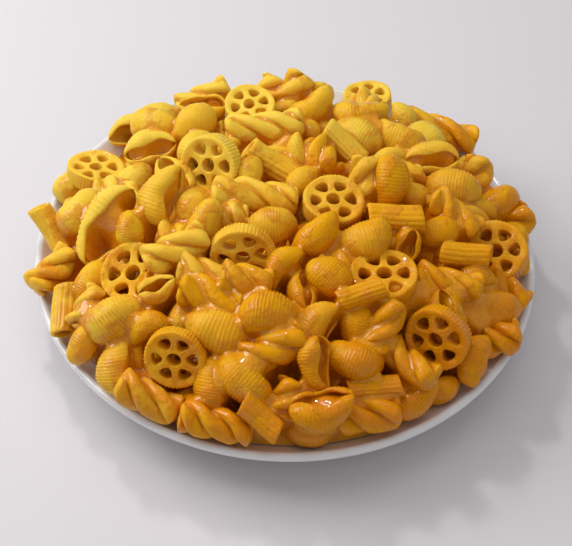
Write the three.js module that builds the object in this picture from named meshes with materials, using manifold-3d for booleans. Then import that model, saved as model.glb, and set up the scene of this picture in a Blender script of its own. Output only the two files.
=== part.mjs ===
// Mac and cheese made with a mix of pasta, heaped on a white plate: wagon wheels, ridged shells,
// spirals and short tubes. Millimetres, +Z up, with the origin on the table under the plate's middle.
// The heap is one solid: a core that stays low between the pieces, with the pieces fused on at
// their true size.

import * as THREE from "three";
import { LoftGeometry } from "three/addons/geometries/LoftGeometry.js";
import { mergeVertices } from "three/addons/utils/BufferGeometryUtils.js";
import Module from "manifold-3d";

const wasm = await Module();
wasm.setup();

// Plate
const rimRadius = 112.5;
const rimHeight = 26;
const wallThickness = 4;
const footRadius = 62;
const footWidth = 5;
const footHeight = 2.5;
const floorHeight = 6.5;
const floorRadius = 56;
const innerFlare = 45;
const outerFlare = 65;
const wallSteps = 6;
const lipSteps = 3;
const plateSides = 48;

// Heap: the pieces' middles lie on a dome that is flat on top and steep near the rim
const heapRadius = 107;
const heapRise = 33;
const heapPower = 3.6;
const coreDepth = 3;
const coreRadius = 103;
const coreGap = 0.6;
const coreWallSteps = 3;
const coreRings = 4;
const coreSides = 24;
const plateGap = 0.3;

// Pasta
const wheelRadius = 13.75;
const wheelWidth = 8.5;
const wheelRimInner = 10.4;
const wheelHubOuter = 4.8;
const wheelHubHole = 2.7;
const wheelSpokes = 6;
const spokeWidth = 2;
const wheelSides = 12;
const hubSides = 4;
const shellLength = 22.8;
const shellWidth = 16;
const shellWall = 2;
const shellLip = 128;
const shellBow = 2.8;
const shellTaper = 2.4;
const shellTip = 0.16;
const shellStations = [-1, -0.5, 0.5, 1];
const shellOuterSteps = 4;
const shellInnerSteps = 2;
const spiralRadius = 7.5;
const spiralValley = 2.8;
const spiralBlades = 3;
const spiralPitch = 34;
const spiralLength = 36;
const spiralTurn = 60;
const spiralEnd = 0.75;
const tubeRadius = 5.9;
const tubeBore = 4;
const tubeLength = 24.5;
const tubeSides = 8;

// The diner's seat, from which the pieces on top are placed
const eyeDistance = 900;
const eyeElevation = 48.5;
const headTilt = 2.2;

// Pieces as the diner sees them, back edge first: kind; across and up from the middle of the rim,
// square to the line of sight; lie, the axis's slope in that view; tip, its lean towards the diner;
// roll about the axis, 0 when an opening faces the diner; lift above the dome; and size, which is
// the length of a spiral and the scale of the rest.
const servedPieces = [
  ["shell", -72, 55, 25, 0, 20, 0, 0.95],
  ["spiral", -36.5, 69.5, 25, 0, 0, 1, 0.75],
  ["shell", -37.5, 63.5, 0, 0, -40, 0, 1],
  ["wheel", -16, 66.5, 95, 50, 15, 1, 0.86],
  ["spiral", 2.5, 70, 58, 0, 30, 3, 0.75],
  ["shell", 12, 64, 40, 0, 240, 1, 1.05],
  ["wheel", 37, 69.5, 95, 48, 20, 1, 0.82],
  ["shell", 34.5, 61, 3, 0, -60, 1, 1.2],
  ["shell", 53, 58.5, 100, 0, 250, 0, 0.85],
  ["spiral", 69.5, 54, -18, 0, 0, 1, 1],
  ["wheel", -85, 37, 80, 37, 10, 1, 0.92],
  ["shell", -61, 46.5, 15, 0, 10, 2, 1.1],
  ["shell", -55, 25.5, 70, 0, 45, 3, 1.25],
  ["tube", -104.5, 13, 122, 0, 0, 8, 0.9],
  ["shell", -91, 18, 50, 0, 205, 2, 1.1],
  ["shell", -78, 12, 57, 0, 12, 2, 1.35],
  ["wheel", -33, 43, 210, 65, 0, 3, 1],
  ["spiral", -10, 56.5, 7, 0, 0, 3, 1],
  ["tube", -5.5, 40, -32, 0, 0, 2, 1],
  ["spiral", -15, 26, -4, 0, 40, 3, 1],
  ["shell", 50.5, 51.5, -25, 0, 235, 3, 1.05],
  ["tube", 26, 48.5, -45, 0, 0, 1, 0.9],
  ["wheel", 20.5, 23.5, -85, 55, 5, 3, 0.92],
  ["shell", 46.5, 31, 85, 0, 235, 2, 1.1],
  ["shell", 75, 29, -10, 0, 180, 2, 1.1],
  ["spiral", 75.5, 18.5, -42, 0, 0, 4, 0.75],
  ["spiral", 83, 34, 70, 0, 0, 0, 0.6],
  ["shell", 94, 21, 20, 0, 180, 1, 1.1],
  ["shell", 106.5, 4, 80, 0, 180, -1, 0.7],
  ["tube", 50, 15, -2, 0, 0, 2.5, 1],
  ["wheel", 93.5, 0.5, 120, 68, 0, 1, 1],
  ["tube", 80.5, -0.5, -5, 0, 0, 4, 1],
  ["shell", 52.5, -20, 10, 0, 180, 1, 1],
  ["spiral", 73.5, -13.5, -12, 0, 0, 2, 0.75],
  ["shell", 92.5, -27.5, 10, 0, 180, 1, 1.2],
  ["spiral", 106, -23, -40, 0, 0, 1, 0.6],
  ["wheel", 43.5, -12, 92, 52, 0, 0, 1],
  ["shell", 21, -10.5, -42, 0, 165, 2, 1.05],
  ["shell", 15.5, 7.5, 40, 0, 240, 3, 1.1],
  ["shell", -6, 12, 0, 0, 180, 1, 1],
  ["wheel", -20.5, 0, -88, 66, 10, 3, 1.05],
  ["shell", -36.5, 13.5, 65, 0, 205, 2, 0.95],
  ["wheel", -69, -8, 100, 65, 0, 2, 1.03],
  ["spiral", -104, -6, 45, -25, 0, 6, 0.7],
  ["tube", -98.5, -27, -93, 25, 0, 0, 0.95],
  ["shell", -78, -30.5, 40, 0, 180, 2, 1.2],
  ["shell", -78.5, -51.5, 100, 0, 95, 1, 1.1],
  ["wheel", -49, -46.5, -100, 66, 0, 5, 1.08],
  ["shell", -45.5, -70, 40, 0, 180, 0, 0.85],
  ["shell", -46, -27.5, 70, 0, 180, 0, 0.85],
  ["shell", -27.5, -35.5, -22, 0, 175, 2, 1.3],
  ["shell", -8.5, -27, -3, 0, 140, 4, 1.15],
  ["shell", 12.5, -31, 52, 0, 65, 3, 1.1],
  ["shell", -17, -57.5, -40, 0, 180, 3, 1.1],
  ["spiral", -30.5, -76, -12, 0, 0, 0, 0.95],
  ["tube", -11.5, -73, -43, 0, 0, 2, 1.05],
  ["shell", 15.5, -68.5, 12, 0, -25, 3, 1.25],
  ["spiral", 44.5, -33, 65, 0, 0, 1, 0.7],
  ["tube", 40.5, -60, 5, 0, 0, 2, 1],
  ["wheel", 67, -37, 215, 62, 12, 4, 1.08],
  ["shell", 82, -46.5, 75, 0, 130, 1, 0.9],
];

// Pieces that a seeded rule adds where the list leaves room, first round the edge, then all over.
// On the far side they stay inside half an ellipse, as the diner sees it.
const pieceSpacing = 15;
const edgeCount = 36;
const edgeRadius = 99;
const edgeKinds = ["shell", "spiral"];
const fillerCount = 150;
const fillerRadius = 97;
const fillerKinds = ["shell", "spiral", "shell", "tube", "wheel", "shell", "spiral"];
const openShare = 0.3;
const backAcross = 104;
const backUp = 69;
const slideStep = 0.5;
const slideSteps = 60;
const seed = 4711;

const glazedWhite = new THREE.MeshStandardMaterial({ color: 0xf1eff0, roughness: 0.15, metalness: 0 });
const cheesyPasta = new THREE.MeshStandardMaterial({ color: 0xe0a02a, roughness: 0.4, metalness: 0 });

const radians = THREE.MathUtils.degToRad;
const fullTurn = 2 * Math.PI;

// A merged, closed geometry as a solid; triangles that merging has flattened are dropped
function solidOf(geometry) {
  const bare = new THREE.BufferGeometry();
  bare.setAttribute("position", geometry.getAttribute("position"));
  bare.setIndex(geometry.index);
  const merged = mergeVertices(bare, 1e-4);
  const index = merged.index.array;
  const kept = [];
  for (let i = 0; i < index.length; i += 3) {
    const [a, b, c] = index.slice(i, i + 3);
    if (a !== b && b !== c && c !== a) kept.push(a, b, c);
  }
  const vertProperties = merged.attributes.position.array;
  return new wasm.Manifold(new wasm.Mesh({ numProp: 3, vertProperties, triVerts: new Uint32Array(kept) }));
}

function geometryOf(solid) {
  const mesh = solid.getMesh();
  const geometry = new THREE.BufferGeometry();
  geometry.setAttribute("position", new THREE.BufferAttribute(mesh.vertProperties, 3));
  geometry.setIndex(new THREE.BufferAttribute(mesh.triVerts, 1));
  geometry.computeVertexNormals();
  return geometry;
}

// Plate: one profile turned round the axis, grown outwards all round by `grow`
const lipRadius = wallThickness / 2;
const lipHeight = rimHeight - lipRadius;
const innerRimRadius = rimRadius - wallThickness;

// Part of an ellipse from a level start; at a flare of 90 degrees it would end upright
function wallCurve(innerRadius, outerRadius, low, high, flare, steps) {
  const points = [];
  const end = radians(flare);
  for (let i = 0; i <= steps; i++) {
    const t = (i / steps) * end;
    const radius = innerRadius + ((outerRadius - innerRadius) * Math.sin(t)) / Math.sin(end);
    const height = low + ((high - low) * (1 - Math.cos(t))) / (1 - Math.cos(end));
    points.push(new THREE.Vector2(radius, height));
  }
  return points;
}

function plateProfile(grow) {
  const floor = floorHeight + grow;
  const foot = footHeight - grow;
  const ringRadius = footRadius - footWidth - grow;
  const points = [
    new THREE.Vector2(0, foot),
    new THREE.Vector2(ringRadius, foot),
    new THREE.Vector2(ringRadius, -grow),
    new THREE.Vector2(footRadius + grow, -grow),
  ];
  points.push(...wallCurve(footRadius + grow, rimRadius + grow, foot, lipHeight, outerFlare, wallSteps));
  for (let i = 1; i <= lipSteps; i++) {
    const t = (i / (lipSteps + 1)) * Math.PI;
    const reach = lipRadius + grow;
    const radius = rimRadius - lipRadius + reach * Math.cos(t);
    points.push(new THREE.Vector2(radius, lipHeight + reach * Math.sin(t)));
  }
  const innerFloor = floorRadius - grow;
  const inside = wallCurve(innerFloor, innerRimRadius - grow, floor, lipHeight, innerFlare, wallSteps);
  points.push(...inside.reverse(), new THREE.Vector2(0, floor));
  return points;
}

function plateGeometry(grow) {
  return new THREE.LatheGeometry(plateProfile(grow), plateSides).rotateX(Math.PI / 2);
}

// Height of the plate's upper side at a radius
function plateTop(radius) {
  const part = (radius - floorRadius) / (innerRimRadius - floorRadius);
  if (part <= 0) return floorHeight;
  if (part >= 1) return rimHeight;
  const t = Math.asin(part * Math.sin(radians(innerFlare)));
  return floorHeight + ((lipHeight - floorHeight) * (1 - Math.cos(t))) / (1 - Math.cos(radians(innerFlare)));
}

function crossesPlate(geometry) {
  const vertices = geometry.getAttribute("position");
  for (let i = 0; i < vertices.count; i++) {
    const radius = Math.hypot(vertices.getX(i), vertices.getY(i));
    const isOver = radius < rimRadius + plateGap;
    if (isOver && vertices.getZ(i) < plateTop(radius) + plateGap) return true;
  }
  return false;
}

// Heap
function domeHeight(radius) {
  return rimHeight + heapRise * (1 - (radius / heapRadius) ** heapPower);
}

function coreGeometry() {
  const floor = floorHeight + coreGap;
  const points = [new THREE.Vector2(0, floor)];
  const rim = innerRimRadius - coreGap;
  const wall = wallCurve(floorRadius - coreGap, rim, floor, lipHeight + coreGap, innerFlare, coreWallSteps);
  points.push(...wall.filter((point) => point.x < coreRadius));
  for (let i = 0; i < coreRings; i++) {
    const radius = coreRadius * Math.sqrt(1 - i / coreRings);
    points.push(new THREE.Vector2(radius, domeHeight(radius) - coreDepth));
  }
  points.push(new THREE.Vector2(0, domeHeight(0) - coreDepth));
  return new THREE.LatheGeometry(points, coreSides).rotateX(Math.PI / 2);
}

// Pasta, each with its axis along +Z and its opening or reference side towards +X
function ring(sides, radius, turn) {
  const points = [];
  for (let i = 0; i < sides; i++) {
    const angle = radians(turn) + (i / sides) * fullTurn;
    points.push(new THREE.Vector2(radius * Math.cos(angle), radius * Math.sin(angle)));
  }
  return points;
}

// The hole between two spokes, narrower at the rim, where the spokes flare
function spokeHole(middle) {
  const flare = 0.8;
  const at = (radius, part) => {
    const angle = middle + part * (Math.PI / wheelSpokes - Math.asin(spokeWidth / 2 / radius));
    return new THREE.Vector2(radius * Math.cos(angle), radius * Math.sin(angle));
  };
  return [at(wheelHubOuter, -1), at(wheelRimInner, -flare), at(wheelRimInner, flare), at(wheelHubOuter, 1)];
}

function wheelGeometry(size) {
  const face = new THREE.Shape(ring(wheelSides, wheelRadius, 0));
  face.holes.push(new THREE.Path(ring(hubSides, wheelHubHole, 0)));
  for (let i = 0; i < wheelSpokes; i++) {
    face.holes.push(new THREE.Path(spokeHole((i / wheelSpokes) * fullTurn)));
  }
  const wheel = new THREE.ExtrudeGeometry(face, { depth: wheelWidth, bevelEnabled: false });
  return wheel.translate(0, 0, -wheelWidth / 2).scale(size, size, size);
}

// A curled strip: open from lip to lip along +X, narrow at both ends, with its back bowed out
function shellGeometry(size) {
  const lip = radians(shellLip);
  const sections = shellStations.map((station) => {
    const girth = shellTip + (1 - shellTip) * Math.sqrt(1 - Math.abs(station) ** shellTaper);
    const outer = (shellWidth / 2) * girth;
    const inner = Math.max(outer - shellWall, outer * 0.3);
    const shift = shellBow * station * station;
    const at = (radius, angle) => {
      const height = (station * shellLength) / 2;
      return new THREE.Vector3(shift - radius * Math.cos(angle), radius * Math.sin(angle), height);
    };
    const points = [];
    for (let i = 0; i <= shellOuterSteps; i++) {
      points.push(at(outer, lip - (2 * lip * i) / shellOuterSteps));
    }
    for (let i = 0; i <= shellInnerSteps; i++) {
      points.push(at(inner, -lip + (2 * lip * i) / shellInnerSteps));
    }
    return points;
  });
  return new LoftGeometry(sections, { capStart: true, capEnd: true }).scale(size, size, size);
}

// Blades wound round the axis
function spiralGeometry(size) {
  const length = spiralLength * size;
  const turn = (length / spiralPitch) * 360;
  const steps = Math.max(3, Math.round(turn / spiralTurn));
  const sections = [];
  for (let i = 0; i <= steps; i++) {
    const height = length * (i / steps - 0.5);
    const bladeRadius = i === 0 || i === steps ? spiralRadius * spiralEnd : spiralRadius;
    const points = [];
    for (let j = 0; j < spiralBlades * 2; j++) {
      const radius = j % 2 === 0 ? bladeRadius : spiralValley;
      const angle = radians((turn * i) / steps) + (j * Math.PI) / spiralBlades;
      points.push(new THREE.Vector3(radius * Math.cos(angle), radius * Math.sin(angle), height));
    }
    sections.push(points);
  }
  return new LoftGeometry(sections, { capStart: true, capEnd: true });
}

function tubeGeometry(size) {
  const half = tubeLength / 2;
  const profile = [
    new THREE.Vector2(tubeBore, half),
    new THREE.Vector2(tubeBore, -half),
    new THREE.Vector2(tubeRadius, -half),
    new THREE.Vector2(tubeRadius, half),
    new THREE.Vector2(tubeBore, half),
  ];
  return new THREE.LatheGeometry(profile, tubeSides).rotateX(Math.PI / 2).scale(size, size, size);
}

const pastaGeometry = {
  wheel: wheelGeometry,
  shell: shellGeometry,
  spiral: spiralGeometry,
  tube: tubeGeometry,
};

// The diner's view: the way to the eye, and right and up in the view
const elevation = radians(eyeElevation);
const toEye = new THREE.Vector3(0, -Math.cos(elevation), Math.sin(elevation));
const viewRight = new THREE.Vector3(1, 0, 0).applyAxisAngle(toEye, radians(headTilt));
const viewUp = new THREE.Vector3().crossVectors(toEye, viewRight);
const rimCentre = new THREE.Vector3(0, 0, rimHeight);

// Where a line of sight meets the dome raised by `lift`, or passes closest over it
function seenPoint(across, up, lift) {
  const eye = rimCentre.clone().addScaledVector(toEye, eyeDistance);
  const target = rimCentre.clone().addScaledVector(viewRight, across).addScaledVector(viewUp, up);
  let best = null;
  let lowest = Infinity;
  for (let part = 0.8; part < 1.2 && lowest > 0; part += 0.0005) {
    const point = eye.clone().lerp(target, part);
    const clearance = point.z - domeHeight(Math.hypot(point.x, point.y)) - lift;
    if (clearance < lowest) {
      lowest = clearance;
      best = point;
    }
  }
  return best;
}

// A piece of one kind with its axis and the side that should face a direction, turned by its roll;
// it slides up and inwards until it clears the plate
function placedPiece(kind, size, middle, axis, facing, roll) {
  const z = axis.clone().normalize();
  const x = facing.clone().addScaledVector(z, -facing.dot(z)).normalize().applyAxisAngle(z, radians(roll));
  const y = new THREE.Vector3().crossVectors(z, x);
  const pose = new THREE.Matrix4().makeBasis(x, y, z).setPosition(middle);
  const geometry = pastaGeometry[kind](size).applyMatrix4(pose);
  const slide = new THREE.Vector3(-middle.x, -middle.y, 0).setLength(0.6 * slideStep);
  slide.z = 0.8 * slideStep;
  const centre = middle.clone();
  for (let i = 0; i < slideSteps && crossesPlate(geometry); i++) {
    geometry.translate(slide.x, slide.y, slide.z);
    centre.add(slide);
  }
  return { geometry, room: roomPoints(kind, size, centre, z) };
}

// Points along a piece's axis that stand for the room it takes
function roomPoints(kind, size, centre, axis) {
  const reach = { wheel: 0, shell: 8, tube: 8, spiral: (spiralLength / 2) * size - 6 }[kind];
  return [0, -1, 1].map((part) => centre.clone().addScaledVector(axis, part * reach));
}

function servedPiece([kind, across, up, lie, tip, roll, lift, size]) {
  const axis = viewRight.clone().multiplyScalar(Math.cos(radians(lie)));
  axis.addScaledVector(viewUp, Math.sin(radians(lie))).multiplyScalar(Math.cos(radians(tip)));
  axis.addScaledVector(toEye, Math.sin(radians(tip)));
  const facing = kind === "wheel" ? viewRight : toEye;
  return placedPiece(kind, size, seenPoint(across, up, lift), axis, facing, roll);
}

let draw = seed;
function random() {
  draw = (draw * 16807) % 2147483647;
  return draw / 2147483647;
}

// A filler lies along the dome, level near the edge and at a random turn elsewhere; wheels lean
function fillerPiece(kind, radius, angle) {
  const outward = new THREE.Vector3(Math.cos(angle), Math.sin(angle), 0);
  const along = new THREE.Vector3(-Math.sin(angle), Math.cos(angle), 0);
  const middle = outward.clone().multiplyScalar(radius).setZ(domeHeight(radius));
  const slope = (heapRise * heapPower * (radius / heapRadius) ** (heapPower - 1)) / heapRadius;
  const normal = outward.clone().multiplyScalar(slope).setZ(1).normalize();
  const uphill = new THREE.Vector3().crossVectors(normal, along);
  const turn = (random() - 0.5) * (radius > fillerRadius ? Math.PI / 3 : fullTurn);
  const lean = radians(15 + 50 * random());
  const roll = random() < openShare ? -30 + 60 * random() : 120 + 120 * random();
  const size = 0.85 + 0.3 * random();
  const axis = along.clone().multiplyScalar(Math.cos(turn)).addScaledVector(uphill, Math.sin(turn));
  if (kind !== "wheel") return placedPiece(kind, size, middle, axis, normal, roll);
  axis.multiplyScalar(Math.sin(lean)).addScaledVector(normal, Math.cos(lean));
  return placedPiece(kind, size, middle, axis, along, roll);
}

function layPieces() {
  const pieces = servedPieces.map(servedPiece);
  const taken = pieces.flatMap((piece) => piece.room);
  const tryFiller = (kind, radius, angle) => {
    const piece = fillerPiece(kind, radius, angle);
    const middle = piece.room[0];
    const up = middle.clone().sub(rimCentre).dot(viewUp);
    if (up > 0 && (middle.dot(viewRight) / backAcross) ** 2 + (up / backUp) ** 2 > 1) return;
    if (taken.some((point) => point.distanceTo(middle) < pieceSpacing)) return;
    pieces.push(piece);
    taken.push(...piece.room);
  };
  for (let i = 0; i < edgeCount; i++) {
    tryFiller(edgeKinds[i % edgeKinds.length], edgeRadius, (i / edgeCount) * fullTurn);
  }
  const goldenAngle = Math.PI * (3 - Math.sqrt(5));
  for (let i = 0; i < fillerCount; i++) {
    const kind = fillerKinds[i % fillerKinds.length];
    tryFiller(kind, fillerRadius * Math.sqrt((i + 0.5) / fillerCount), i * goldenAngle);
  }
  return pieces;
}

// Core and pieces joined, trimmed clear of the plate; scraps and sealed hollows are left behind
function heapGeometry() {
  let heap = solidOf(coreGeometry());
  for (const piece of layPieces()) {
    heap = heap.add(solidOf(piece.geometry));
  }
  const trimmed = heap.subtract(solidOf(plateGeometry(plateGap)));
  const bodies = trimmed.decompose().sort((a, b) => b.volume() - a.volume());
  return geometryOf(bodies[0]);
}

const plate = new THREE.Mesh(plateGeometry(0), glazedWhite);
plate.name = "plate";

const pastaHeap = new THREE.Mesh(heapGeometry(), cheesyPasta);
pastaHeap.name = "pasta_heap";

const dish = new THREE.Group();
dish.add(plate, pastaHeap);

export default dish;
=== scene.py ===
import math

import bpy
import numpy as np
from mathutils import Matrix, Vector
from mathutils.bvhtree import BVHTree
from mathutils.geometry import delaunay_2d_cdt


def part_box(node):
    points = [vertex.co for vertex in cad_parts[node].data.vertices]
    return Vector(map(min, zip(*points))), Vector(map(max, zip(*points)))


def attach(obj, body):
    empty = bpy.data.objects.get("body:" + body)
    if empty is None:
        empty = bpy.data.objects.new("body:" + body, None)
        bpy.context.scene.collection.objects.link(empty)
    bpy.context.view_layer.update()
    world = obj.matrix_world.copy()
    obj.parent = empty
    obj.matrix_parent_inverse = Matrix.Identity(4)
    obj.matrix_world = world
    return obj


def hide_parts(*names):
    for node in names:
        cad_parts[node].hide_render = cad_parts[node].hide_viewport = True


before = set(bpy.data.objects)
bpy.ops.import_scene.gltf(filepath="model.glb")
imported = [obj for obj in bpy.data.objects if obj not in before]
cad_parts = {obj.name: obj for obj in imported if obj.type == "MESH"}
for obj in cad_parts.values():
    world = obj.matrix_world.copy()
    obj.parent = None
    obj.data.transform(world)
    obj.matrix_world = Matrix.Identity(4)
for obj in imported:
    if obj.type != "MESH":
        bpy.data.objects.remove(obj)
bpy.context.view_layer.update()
print("solids loaded")

# Everything is worked out in millimetres and made smaller once, when a mesh is built
mm = 0.001
tiny = 1e-6  # keeps a division from dividing by nothing
draw = np.random.default_rng(4711)
scene = bpy.context.scene
scene.view_settings.view_transform = "Standard"

plate = {
    "rimRadius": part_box("plate")[1].x / mm,
    "rimHeight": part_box("plate")[1].z / mm,
    "wall": 4.0,
    "footRadius": 62.0,
    "footWidth": 5.0,
    "footHeight": 2.5,
    "footBevel": 0.6,
    "floorHeight": 6.5,
    "floorRadius": 56.0,
    "innerFlare": 45.0,  # degrees of an ellipse that a wall takes; at 90 it would end upright
    "outerFlare": 65.0,
    "lipStart": -35.0,  # degrees round the lip, from the outer wall's end to the inner wall's
    "lipEnd": 130.0,
    "sides": 192,
    "wallSteps": 28,
    "lipSteps": 12,
    "clearance": 0.4,  # between the food and the glaze
}
lipRadius = plate["wall"] / 2
lipHeight = plate["rimHeight"] - lipRadius


def onCircle(radius, turn):
    return np.stack([radius * np.cos(turn), radius * np.sin(turn)], -1)


def lipCurve(start, end, steps):
    turn = np.radians(np.linspace(start, end, steps + 1))
    return np.array([plate["rimRadius"] - lipRadius, lipHeight]) + onCircle(lipRadius, turn)


innerRim, innerTop = lipCurve(plate["lipEnd"], plate["lipEnd"], 1)[0]
outerRim, outerTop = lipCurve(plate["lipStart"], plate["lipStart"], 1)[0]


def wallCurve(inner, outer, low, high, flare, steps):
    turn = np.linspace(0, math.radians(flare), steps + 1)
    out, up = np.sin(turn), 1 - np.cos(turn)
    return np.stack([inner + (outer - inner) * out / out[-1], low + (high - low) * up / up[-1]], 1)


def insideWall(steps):
    start, flare = plate["floorRadius"], plate["innerFlare"]
    return wallCurve(start, innerRim, plate["floorHeight"], innerTop, flare, steps)


def insideProfile(steps):
    # Radius and height along the plate's upper side, from its middle to the top of the rim
    floor = np.linspace(0, plate["floorRadius"], steps)[:-1]
    floor = np.stack([floor, np.full_like(floor, plate["floorHeight"])], 1)
    top = lipCurve(plate["lipEnd"], 90, 4)[1:]
    return np.vstack([floor, insideWall(steps), top])


def plateTop(radius):
    part = np.clip((radius - plate["floorRadius"]) / (innerRim - plate["floorRadius"]), 0, 1)
    flare = math.radians(plate["innerFlare"])
    up = (1 - np.cos(np.arcsin(part * math.sin(flare)))) / (1 - math.cos(flare))
    wall = plate["floorHeight"] + (innerTop - plate["floorHeight"]) * up
    return np.where(radius > innerRim, plate["rimHeight"], wall)


# The food lies in a dome whose edge is inside the rim
heap = {
    "radius": 107.0,
    "rise": 33.0,
    "power": 3.6,  # flat on top and steep near the rim
    "backAcross": 104.0,  # on the far side, pieces laid by rule stay inside this half ellipse,
    "backUp": 69.0,  # as the diner sees it
}
# Pieces laid by rule: some at the edge, fillers, small scraps between those, and a lower layer
filler = {
    "edgeCount": 40,
    "edgeRadius": 98.0,
    "count": 420,
    "radius": 96.0,
    "spacing": 11.5,
    "kinds": ("shell", "spiral", "shell", "tube", "wheel", "shell", "spiral"),
    "wheelsFrom": 0.7,  # wheels only beyond this part of the way to the far side,
    "tubesTo": 0.4,  # and tubes only before this part
    "lean": (15, 65),  # degrees, of wheels
    "openShare": 0.3,  # share that shows its openings
    "openRoll": (-30, 30),
    "backRoll": (120, 240),
    "size": (0.85, 1.15),
    "spiralSize": (0.5, 1.0),
}
scrap = {
    "count": 300,
    "spacing": 8.8,
    "hubSpacing": 15.0,  # room that scraps leave round the middle of a wheel
    "size": 0.62,
    "depth": 2.5,
    "farDepth": 7,
    "farFrom": 0.62,
}
lower = {"count": 84, "radius": 93, "depth": 9.5, "kinds": ("shell", "spiral", "shell")}
settling = {
    "steps": 70,
    "overlap": 1.2,  # how far soft pieces press into one another
    "push": 0.22,
    "plainWeight": 1.0,
    "servedWeight": 0.5,
    "lowerWeight": 1.4,
    "mostPress": 6,
    "platePush": 0.5,
    "mostPlate": 5,
    "mostMove": 2,
    "sideways": 1.5,  # how far a served piece may leave its line of sight
    "nearer": -7,  # and how far it may move along it
    "further": 9,
}
diner = {
    "distance": 900.0,
    "elevation": 48.5,
    "tilt": 2.2,
    "lens": 125.6,
    "sensor": 36.0,
    "lookDown": 8.3,
    "lookRight": 0.27,
}

tilt = math.radians(diner["tilt"])
rise = math.radians(diner["elevation"])
toEye = np.array([0, -math.cos(rise), math.sin(rise)])
viewRight = np.array(Matrix.Rotation(tilt, 3, Vector(toEye)) @ Vector((1, 0, 0)))
viewUp = np.cross(toEye, viewRight)
rimCentre = np.array([0, 0, plate["rimHeight"]])
eye = rimCentre + toEye * diner["distance"]
sightSteps = np.arange(0.8, 1.2, 0.0005)  # parts of the way from the eye to the rim's plane

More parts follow.
